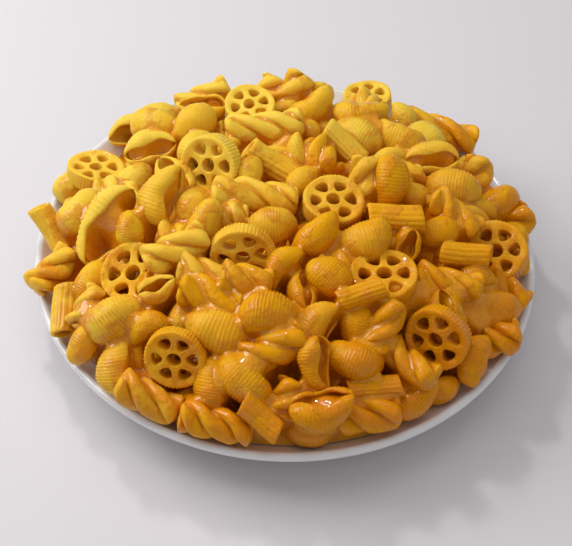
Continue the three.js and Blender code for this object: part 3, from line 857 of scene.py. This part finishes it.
pastaLook = {
    "pale": (0.85, 0.56, 0.058),
    "golden": (0.80, 0.395, 0.002),
    "deep": (0.70, 0.26, 0.001),
    "sauce": (0.68, 0.215, 0.001),
    # The next colour is painted shade, laid on points that lie deep between the pieces
    "gapShade": (0.66, 0.2, 0.001),
    "slope": (8.5, -10.5, 0.0),  # the way over the dish, per metre, towards the side away from the key light; painted light and shade: the pasta goes from paler on the lit side to deeper orange, and its sauce coat grows a little
    "roughness": 0.42,
    "bump": 0.8,
    "bumpDistance": 0.0006,
    "coat": 0.5,
    "coatRoughness": 0.09,
    "specular": 0.15,
    "translucency": 0.36,
    "glow": (1.0, 0.6, 0.08),  # how deep red, green and blue light goes
}
sauceLook = {
    "pale": (0.78, 0.34, 0.003),
    "golden": (0.69, 0.235, 0.001),
    # The next colour is painted shade, laid on sauce that lies deep between the pieces
    "gapShade": (0.56, 0.14, 0.001),
    "roughness": 0.22,
    "bump": 1.0,
    "bumpDistance": 0.0009,
    "coat": 1.0,
    "coatRoughness": 0.06,
    "specular": 0.2,
    "translucency": 0.25,
    "glow": (1.0, 0.55, 0.05),
}
plateLook = {
    "bright": (0.79, 0.78, 0.785),
    "dull": (0.73, 0.72, 0.73),
    "roughness": 0.14,
    "bump": 0.08,
    "bumpDistance": 0.0005,
    "coat": 0.5,
    "coatRoughness": 0.05,
}


def wetShader(recipe, look, colour, roughness, height, coat):
    # What pasta and sauce share: light gets in under a wet coat
    recipe.shader({"subsurface_method": "RANDOM_WALK"}, {
        "Base Color": colour,
        "Roughness": roughness,
        "Normal": recipe.bump(height, look["bump"], look["bumpDistance"]),
        "Subsurface Weight": look["translucency"],
        "Subsurface Radius": look["glow"],
        "Subsurface Scale": 0.004,
        "Coat Weight": coat,
        "Coat Roughness": look["coatRoughness"],
        "IOR": 1.45,
        "Specular IOR Level": look["specular"],
    })


def pastaFinish(name):
    material, recipe = newMaterial(name)
    place, shade, deepness = recipe.place(), recipe.attribute("shade"), recipe.attribute("deepness")
    cloud = recipe.noise(place, scale=70, detail=3, seed=1.0)
    patch = recipe.noise(place, scale=120, detail=5, seed=5.0)
    speck = recipe.noise(place, scale=900, detail=3, seed=9.0)
    grain = recipe.noise(place, scale=420, detail=3, seed=3.0)
    # Painted light and shade across the dish: the dot product below grows away from the key light,
    # so the pasta is paler and whiter on the lit side, a painted sheen, and deeper orange on the
    # shaded side
    values = {0: place, 1: pastaLook["slope"]}
    shadeSide = recipe.add("ShaderNodeVectorMath", {"operation": "DOT_PRODUCT"}, values, "Value")
    yellow = shade * 0.9 + cloud * 0.8 + shadeSide * 0.5 - 0.35
    colour = recipe.mix(yellow.clamped(), pastaLook["pale"], pastaLook["golden"])
    amber = cloud * 0.9 + speck * 0.45 + shadeSide * 0.5 - 0.5
    colour = recipe.mix(amber.clamped(), colour, pastaLook["deep"])
    coated = (patch + deepness * 0.2 + shade * 0.08 + shadeSide * 0.05).between(0.54, 0.7)
    colour = recipe.mix(coated * 0.6, colour, pastaLook["sauce"])
    # Painted shade: a deeper, darker orange where a point lies deep under the heap's envelope
    colour = recipe.mix(deepness.between(0.35, 1.5) * 0.6, colour, pastaLook["gapShade"])
    roughness = pastaLook["roughness"] + patch * 0.16 - coated * 0.1
    height = grain * (0.5 + coated) + speck * 0.25 + coated * 0.5
    coat = pastaLook["coat"] * (0.15 + coated)
    wetShader(recipe, pastaLook, colour, roughness, height, coat)
    return material


def sauceFinish(name):
    material, recipe = newMaterial(name)
    place, deepness = recipe.place(), recipe.attribute("deepness")
    cloud = recipe.noise(place, scale=80, detail=4, seed=1.0)
    speck = recipe.noise(place, scale=800, detail=3, seed=4.0)
    lump = recipe.noise(place, scale=330, detail=4, seed=2.0)
    amber = (cloud * 1.4 - 0.25).clamped()
    colour = recipe.mix(amber, sauceLook["pale"], sauceLook["golden"])
    # Painted shade: the sauce goes darker where it lies deep under the heap's envelope
    colour = recipe.mix(deepness.between(0.15, 1.0) * 0.7, colour, sauceLook["gapShade"])
    roughness = sauceLook["roughness"] + cloud * 0.14
    wetShader(recipe, sauceLook, colour, roughness, lump + speck * 0.5, sauceLook["coat"])
    return material


def plateFinish(name):
    material, recipe = newMaterial(name)
    place = recipe.place()
    cloud = recipe.noise(place, scale=22, detail=2, seed=1.0)
    ripple = recipe.noise(place, scale=90, detail=2, seed=2.0)
    recipe.shader({}, {
        "Base Color": recipe.mix(cloud, plateLook["bright"], plateLook["dull"]),
        "Roughness": plateLook["roughness"] + cloud * 0.1,
        "Normal": recipe.bump(ripple, plateLook["bump"], plateLook["bumpDistance"]),
        "Coat Weight": plateLook["coat"],
        "Coat Roughness": plateLook["coatRoughness"],
    })
    return material


finishes = {kind: pastaFinish(f"{kind}Pasta") for kind in ("wheel", "shell", "spiral", "tube")}
finishes["sauce"] = sauceFinish("cheeseSauce")
finishes["plate"] = plateFinish("whiteGlaze")
print("finishes made")


scatter = {
    "squash": (0.94, 1.07),
    "wheelSquash": (0.98, 1.02),
    "slideInwards": 0.3,
    "slideUp": 0.4,
    "slides": 60,  # at most
    "clearance": 0.4,  # beyond the plate's own
    "rimClearance": 0.5,
    "warp": {"wheel": 0.0026, "shell": 0.0052, "spiral": 0.0042, "tube": 0.0030},
    "warpLength": 0.024,
    "seed": 3.0,
}
names = {
    "wheel": "wagon_wheels",
    "shell": "ridged_shells",
    "spiral": "spirals",
    "tube": "short_tubes",
    "lowerShell": "lower_shells",
    "lowerSpiral": "lower_spirals",
}


def scatterTree():
    # Puts a kind at every point, turned and stretched as the point says, and warps it a little
    tree = bpy.data.node_groups.new("pastaScatter", "GeometryNodeTree")
    for name, kind in (
        ("Points", "Geometry"),
        ("Kinds", "Collection"),
        ("Warp", "Float"),
        ("Warp Length", "Float"),
        ("Seed", "Float"),
        ("Finish", "Material"),
    ):
        tree.interface.new_socket(name=name, in_out="INPUT", socket_type="NodeSocket" + kind)
    tree.interface.new_socket(name="Pasta", in_out="OUTPUT", socket_type="NodeSocketGeometry")
    recipe = Recipe(tree)
    given = recipe.add("NodeGroupInput", {}, {})

    def stored(name, form):
        return recipe.add("GeometryNodeInputNamedAttribute", {"data_type": form}, {"Name": name})

    kinds = recipe.add("GeometryNodeCollectionInfo", {}, {
        "Collection": given.also("Kinds"), "Separate Children": True, "Reset Children": True,
    })
    rotation = recipe.add("FunctionNodeEulerToRotation", {}, {0: stored("turn", "FLOAT_VECTOR")})
    placed = recipe.add("GeometryNodeInstanceOnPoints", {}, {
        "Points": given.also("Points"),
        "Instance": kinds,
        "Pick Instance": True,
        "Instance Index": stored("variant", "INT"),
        "Rotation": rotation,
        "Scale": stored("stretch", "FLOAT_VECTOR"),
    })
    real = recipe.add("GeometryNodeRealizeInstances", {}, {0: placed})
    often = {0: 1.0, 1: given.also("Warp Length")}
    noise = recipe.add("ShaderNodeTexNoise", {"noise_dimensions": "4D"}, {
        "Vector": recipe.add("GeometryNodeInputPosition", {}, {}),
        "W": given.also("Seed"),
        "Scale": recipe.add("ShaderNodeMath", {"operation": "DIVIDE"}, often),
        "Detail": 2.0,
        "Roughness": 0.55,
    }, "Color")
    values = {0: noise, 1: (0.5,) * 3}
    centred = recipe.add("ShaderNodeVectorMath", {"operation": "SUBTRACT"}, values)
    values = {0: centred, "Scale": given.also("Warp")}
    shift = recipe.add("ShaderNodeVectorMath", {"operation": "SCALE"}, values)
    warped = recipe.add("GeometryNodeSetPosition", {}, {"Geometry": real, "Offset": shift})
    values = {"Geometry": warped, "Material": given.also("Finish")}
    recipe.add("NodeGroupOutput", {}, {0: recipe.add("GeometryNodeSetMaterial", {}, values)})
    return tree


def choose(piece):
    # Which mesh of its kind a piece gets, and how far that is stretched
    kind, size = piece["kind"], piece["size"]
    squash = draw.uniform(*scatter["squash"], 3)
    if kind == "wheel":
        squash[:2] = draw.uniform(*scatter["wheelSquash"])
    if piece["role"] == "lower":
        long = np.array([1, 1, size / lowerSpiralSize]) if kind == "spiral" else size
        return "lower" + kind.capitalize(), 0, long * squash
    variant = int(draw.integers(3))
    if kind == "spiral":
        variant = min(range(len(spiralSizes)), key=lambda i: abs(spiralSizes[i] - size))
        return kind, variant, np.array([1, 1, size / spiralSizes[variant]]) * squash
    return kind, variant, size * squash


def clearOfPlate(piece, mesh):
    # Slides a piece up and inwards until none of its points is in the plate
    points = pointsOf(mesh) * piece["stretch"] @ piece["pose"].T + piece["place"]
    inwards = -piece["place"] * (1, 1, 0)
    slide = unit(inwards) * scatter["slideInwards"] + np.array([0, 0, scatter["slideUp"]])
    for _ in range(scatter["slides"]):
        radius = np.hypot(points[:, 0], points[:, 1])
        low = points[:, 2] < plateTop(radius) + plate["clearance"] + scatter["clearance"]
        if not (low & (radius < plate["rimRadius"] + scatter["rimClearance"])).any():
            break
        points = points + slide
        piece["place"] = piece["place"] + slide


def addObject(name, mesh, finish=None):
    thing = bpy.data.objects.new(name, mesh)
    scene.collection.objects.link(thing)
    if finish:
        mesh.materials.append(finish)
    return thing


def kindCollection(name, meshes):
    collection = bpy.data.collections.new(name)
    for i, mesh in enumerate(meshes):
        collection.objects.link(bpy.data.objects.new(f"{name}{i}", mesh))
    return collection


def scatterKind(kind):
    mine = [piece for piece in pieces if piece["kindName"] == kind]
    points = bpy.data.meshes.new(names[kind])
    points.from_pydata([tuple(piece["place"] * mm) for piece in mine], [], [])
    turns = [tuple(Matrix(piece["pose"].tolist()).to_euler()) for piece in mine]
    for name, form, field, values in (
        ("turn", "FLOAT_VECTOR", "vector", np.array(turns)),
        ("stretch", "FLOAT_VECTOR", "vector", np.array([piece["stretch"] for piece in mine]) * mm),
        ("variant", "INT", "value", np.array([piece["variant"] for piece in mine])),
        ("shade", "FLOAT", "value", draw.random(len(mine))),
    ):
        data = points.attributes.new(name, form, "POINT").data
        data.foreach_set(field, values.ravel().tolist())
    thing = addObject(names[kind], points)
    modifier = thing.modifiers.new("scatter", "NODES")
    modifier.node_group = tree
    plain = {"lowerShell": "shell", "lowerSpiral": "spiral"}.get(kind, kind)
    values = {
        "Kinds": kindCollection(kind, kinds[kind]),
        "Warp": scatter["warp"][plain],
        "Warp Length": scatter["warpLength"],
        "Seed": scatter["seed"],
        "Finish": finishes[plain],
    }
    for item in tree.interface.items_tree:
        if item.name in values:
            modifier[item.identifier] = values[item.name]
    evaluated = thing.evaluated_get(bpy.context.evaluated_depsgraph_get())
    mesh = bpy.data.meshes.new_from_object(evaluated)
    thing.modifiers.clear()
    thing.data = mesh
    mesh.name = names[kind]
    triangles = sum(len(face.vertices) - 2 for face in mesh.polygons)
    print(names[kind], len(mine), "pieces,", triangles, "triangles")
    return thing


for piece in pieces:
    piece["kindName"], piece["variant"], piece["stretch"] = choose(piece)
    clearOfPlate(piece, kinds[piece["kindName"]][piece["variant"]])
tree = scatterTree()
made = {kind: scatterKind(kind) for kind in names}


# The cheese sauce is a film between the pieces, thick in places, and the heap's core below it
sauce = {
    "cell": 1.0,  # of the grid that its heights are worked out on
    "reach": 118.0,
    "domeReach": 106,  # beyond this the dome stays level
    "lean": 38.0,  # degrees by which the sheet faces outwards at the leaning radius
    "leanRadius": 100,
    "above": 45.0,  # the height over the dome that the measuring starts from
    "empty": -16.0,  # the height where there is no piece
    "thin": 1.0,  # the balls that round the film from below and from above
    "bridge": 2.6,
    "under": 0.6,
    "smooth": 0.5,
    "ripples": ((0.12, 1.2), (0.16, 3.0)),  # height and width
    "envelope": 9.0,  # the ball that rolls over the whole heap
    "coatWidth": 1.35,
    "coatSmooth": 1.4,
    "ragged": 0.22,
    "raggedWidth": 3.0,
    "raggedInset": 0.25,
    "raggedSmooth": 0.8,
    "mesh": 236,
    "border": 102.0,
    "borderFrom": 0.95,
    "rings": (97.0, 88.0, 78.0, 67.0, 56.0, 28.0),  # radii under the heap
}
# Thick sauce: the ball that it is smoothed with, how far it rises above that, and where it lies as
# the diner sees it: across, up, half width, half height. Pools also fill the holes of wheels
sauceCoats = {
    "ball": 3.2,
    "rise": 0.2,
    "places": [
        (-78, -29.5, 15, 9), (39, 57, 6, 8), (15.5, 9, 8, 9), (-20.5, -55, 15, 9),
        (-44.5, -67, 7, 5), (-70, 33, 6, 6), (30, -46, 7, 6), (-27.5, -38.5, 8, 5), (9, -16, 6, 5),
        (96, 21.5, 7, 6), (-72, 10, 12, 12), (58, -20, 12, 9), (78, -22, 10, 8),
    ],
}
saucePools = {
    "ball": 7.0,
    "rise": -1.2,
    "places": [
        (-15, 65, 8, 6), (88.5, -4, 7, 6), (48, -15, 7, 6), (-65, -12, 7, 6), (-78, 12, 8, 9),
        (15.5, -67, 9, 4), (92, -27, 14, 10), (61, -17, 6, 5),
    ],
}

count = int(2 * sauce["reach"] / sauce["cell"]) + 1
ticks = np.linspace(-sauce["reach"], sauce["reach"], count)
gridX, gridY = np.meshgrid(ticks, ticks, indexing="ij")


def sheetFrame(x, y):
    # The dome point over (x, y) and the way the sauce faces there
    radius = np.hypot(x, y)
    lean = np.radians(sauce["lean"]) * np.clip(radius / sauce["leanRadius"], 0, 1.1) ** 2
    safe = np.maximum(radius, tiny)
    way = np.stack([x / safe * np.sin(lean), y / safe * np.sin(lean), np.cos(lean)], -1)
    base = np.stack([x, y, domeHeight(np.minimum(radius, sauce["domeReach"]))], -1)
    return base, way


def heightsOver(things):
    graph = bpy.context.evaluated_depsgraph_get()
    trees = [BVHTree.FromObject(thing, graph) for thing in things]
    base, way = sheetFrame(gridX, gridY)
    heights = np.full(gridX.shape, sauce["empty"])
    starts = (base + way * sauce["above"]) * mm
    for i, j in np.argwhere(np.hypot(gridX, gridY) <= sauce["reach"]):
        start, down = Vector(starts[i, j]), Vector(-way[i, j])
        for tree in trees:
            distance = tree.ray_cast(start, down, 0.07)[3]
            if distance is not None:
                heights[i, j] = max(heights[i, j], sauce["above"] - distance / mm)
    return heights


def ballRaised(field, radius):
    reach = int(radius / sauce["cell"])
    raised = np.full_like(field, -1e3)
    for i in range(-reach, reach + 1):
        for j in range(-reach, reach + 1):
            left = radius ** 2 - (i * i + j * j) * sauce["cell"] ** 2
            if left >= 0:
                moved = np.roll(field, (i, j), (0, 1)) + math.sqrt(left) - radius
                raised = np.maximum(raised, moved)
    return raised


def bridged(field, radius):
    # Fills what a ball of this radius can't reach from above
    return -ballRaised(-ballRaised(field, radius), radius)


def blurred(field, width):
    rows = np.fft.fftfreq(field.shape[0], sauce["cell"])[:, None]
    columns = np.fft.rfftfreq(field.shape[1], sauce["cell"])[None]
    soft = np.exp(-2 * (math.pi * width) ** 2 * (rows ** 2 + columns ** 2))
    return np.fft.irfft2(np.fft.rfft2(field) * soft, field.shape)


def softNoise(width):
    field = blurred(draw.standard_normal(gridX.shape), width)
    return field / field.std()


def sheetPlace(point):
    # The (x, y) whose line through the sheet passes through a point
    x, y = point[..., 0], point[..., 1]
    for _ in range(4):
        base, way = sheetFrame(x, y)
        height = (point[..., 2] - base[..., 2]) / way[..., 2]
        x, y = point[..., 0] - way[..., 0] * height, point[..., 1] - way[..., 1] * height
    return x, y, height


def sampled(field, x, y):
    i = np.clip((x + sauce["reach"]) / sauce["cell"], 0, count - 1.001)
    j = np.clip((y + sauce["reach"]) / sauce["cell"], 0, count - 1.001)
    low, left = i.astype(int), j.astype(int)
    s, t = i - low, j - left
    top = field[low, left] * (1 - t) + field[low, left + 1] * t
    bottom = field[low + 1, left] * (1 - t) + field[low + 1, left + 1] * t
    return top * (1 - s) + bottom * s


def patchMask(places):
    mask = np.zeros_like(gridX)
    base, _ = sheetFrame(gridX, gridY)
    for across, up, wide, high in places:
        x, y, _ = sheetPlace(seenPoint(across, up, 2))
        away = base - sheetFrame(x, y)[0]
        spread = ((away @ viewRight) / wide) ** 2 + ((away @ viewUp) / high) ** 2
        mask = np.maximum(mask, np.clip(sauce["coatWidth"] - spread, 0, 1))
    return mask


heights = heightsOver([thing for kind, thing in made.items() if kind != "wheel"])
overWheels = np.maximum(heights, heightsOver([made["wheel"]]))
print("heights over the pieces measured")
thin = -ballRaised(-heights, sauce["thin"])
film = bridged(thin, sauce["bridge"]) - sauce["under"]
envelope = blurred(bridged(heights, sauce["envelope"]), 2.0)
for thick, over in ((sauceCoats, heights), (saucePools, overWheels)):
    level = blurred(bridged(over, thick["ball"]), sauce["coatSmooth"]) + thick["rise"]
    mask = patchMask(thick["places"])
    ragged = mask + sauce["ragged"] * softNoise(sauce["raggedWidth"]) * (mask > 0)
    ragged = np.clip(ragged - sauce["raggedInset"], 0, 1)
    ragged = blurred(ragged * ragged * (3 - 2 * ragged), sauce["raggedSmooth"])
    film = film + np.maximum(level - film, 0) * ragged
film = blurred(film, sauce["smooth"])
for high, wide in sauce["ripples"]:
    film = film + high * softNoise(wide)


def sauceMesh():
    # A square grid drawn out to a disc; its border comes down to the plate, and rings and a fan
    # close it below
    side, reach = sauce["mesh"], sauce["border"]
    across = np.linspace(-1, 1, side)
    u, v = np.meshgrid(across, across, indexing="ij")
    x = u * np.sqrt(1 - v * v / 2)
    y = v * np.sqrt(1 - u * u / 2)
    part = np.hypot(x, y)
    base, way = sheetFrame(x * reach, y * reach)
    top = base + way * sampled(film, x * reach, y * reach)[..., None]
    edge = np.clip((part - sauce["borderFrom"]) / 0.05, 0, 1) ** 1.5
    border = np.stack([x, y, 0 * x], -1) / np.maximum(part, tiny)[..., None] * reach
    border[..., 2] = plateTop(np.array(reach)) + plate["clearance"]
    top = top * (1 - edge[..., None]) + border * edge[..., None]
    radius = np.hypot(top[..., 0], top[..., 1])
    lowest = np.maximum(top[..., 2], plateTop(radius) + plate["clearance"])
    top[..., 2] = np.where(radius < plate["rimRadius"] + 1, lowest, top[..., 2])
    ring = np.concatenate([
        np.arange(side) * side,
        (side - 1) * side + np.arange(1, side),
        np.arange(side - 2, -1, -1) * side + side - 1,
        np.arange(side - 2, 0, -1),
    ])
    points = [top.reshape(-1, 3)]
    outline = points[0][ring]
    start, previous, bottomFaces = side * side, ring, []
    for radius in sauce["rings"]:
        level = outline * (radius / reach)
        level[:, 2] = plateTop(np.array(radius)) + plate["clearance"]
        points.append(level)
        current = start + np.arange(len(ring))
        start += len(ring)
        quads = [previous, current, np.roll(current, -1), np.roll(previous, -1)]
        bottomFaces.append(np.stack(quads, 1))
        previous = current
    points.append(np.array([[0, 0, plate["floorHeight"] + plate["clearance"]]]))
    fan = [(start, b, a) for a, b in zip(previous, np.roll(previous, -1))]
    faces = np.vstack([gridFaces(side, side, closedColumns=False), *bottomFaces])
    return outwards(buildMesh("cheese_sauce", np.vstack(points) * mm, faces, fan))


def markDepth(mesh):
    # How deep each point lies under the heap's envelope, in centimetres; the finishes paint shade
    # with it and gather sauce by it
    x, y, height = sheetPlace(pointsOf(mesh) / mm)
    deep = np.clip(sampled(envelope, x, y) - height, 0, 30) / 10
    mesh.attributes.new("deepness", "FLOAT", "POINT").data.foreach_set("value", deep)


made["sauce"] = addObject("cheese_sauce", sauceMesh(), finishes["sauce"])
for thing in made.values():
    markDepth(thing.data)
print("sauce made")


def plateMesh():
    foot, floor, bevel = plate["footHeight"], plate["floorHeight"], plate["footBevel"]
    outer, inner = plate["footRadius"], plate["footRadius"] - plate["footWidth"]
    steps = plate["wallSteps"]
    profile = np.vstack([
        [[inner * 0.5, foot], [inner, foot], [inner, bevel], [inner + bevel, 0]],
        [[outer - bevel, 0], [outer, bevel]],
        wallCurve(outer, outerRim, foot, outerTop, plate["outerFlare"], steps),
        lipCurve(plate["lipStart"], plate["lipEnd"], plate["lipSteps"])[1:-1],
        insideWall(steps)[::-1],
        [[plate["floorRadius"] * part, floor] for part in (0.6, 0.2)],
    ])
    turn = np.linspace(0, math.tau, plate["sides"], endpoint=False)[None]
    points = np.dstack([onCircle(profile[:, :1], turn), profile[:, 1:] + 0 * turn])
    return outwards(stackMesh("glazed_plate", points * mm))


made["plate"] = addObject("glazed_plate", plateMesh(), finishes["plate"])

for kind, thing in made.items():
    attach(thing, "root")
    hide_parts("plate" if kind == "plate" else "pasta_heap")
    "glazed_white" if kind == "plate" else "cheesy_pasta"
print("plate made")


studio = {
    "table": (0.69, 0.655, 0.668),
    "tableRoughness": 0.6,
    "tableHalf": 4.0,  # this and the places of the lights are in metres
    "tableTop": -0.0002,
    "lights": {
        "key": {"place": (-0.7, 0.2, 0.62), "size": 0.6, "power": 5.6, "glints": True},
        "overhead": {"place": (0.05, 0.2, 1.4), "size": 1.2, "power": 4.8, "glints": False},
        "window": {"place": (-0.3, 0.45, 0.8), "size": 0.1, "power": 1.7, "glints": True},
        "fill": {"place": (0.5, -0.8, 0.8), "size": 1.2, "power": 2.4, "glints": False},
    },
    "aim": (0, 0, 0.03),
    "sky": (0.95, 0.97, 1.0, 1),
    "skyStrength": 0.275,
}


def tableFinish():
    material, recipe = newMaterial("paleTable")
    values = {"Base Color": (*studio["table"], 1), "Roughness": studio["tableRoughness"]}
    recipe.shader({}, values)
    return material


def areaLight(name, setting):
    lamp = bpy.data.lights.new(name, "AREA")
    lamp.energy, lamp.size = setting["power"], setting["size"]
    thing = bpy.data.objects.new(name, lamp)
    scene.collection.objects.link(thing)
    thing.location = setting["place"]
    aim = Vector(studio["aim"]) - thing.location
    thing.rotation_euler = aim.to_track_quat("-Z", "Y").to_euler()
    thing.visible_glossy = setting["glints"]


corners = np.array([[-1, -1], [1, -1], [1, 1], [-1, 1]]) * studio["tableHalf"]
table = np.column_stack([corners, np.full(4, studio["tableTop"])])
addObject("table", buildMesh("table", table, np.array([[0, 1, 2, 3]])), tableFinish())
for name, setting in studio["lights"].items():
    areaLight(name, setting)

world = bpy.data.worlds.new("softRoom")
world.use_nodes = True
background = world.node_tree.nodes["Background"].inputs
background["Color"].default_value = studio["sky"]
background["Strength"].default_value = studio["skyStrength"]
scene.world = world

target = rimCentre - viewUp * diner["lookDown"] + viewRight * diner["lookRight"]
away = unit(eye - target)
right = unit(viewRight - away * np.dot(viewRight, away))
lens = bpy.data.cameras.new("camera")
lens.lens, lens.sensor_width = diner["lens"], diner["sensor"]
camera = bpy.data.objects.new("camera", lens)
scene.collection.objects.link(camera)
axes = np.stack([right, np.cross(away, right), away], 1)
camera.matrix_world = Matrix.Translation(Vector(eye * mm)) @ Matrix(axes.tolist()).to_4x4()
scene.camera = camera

print("scene ready")
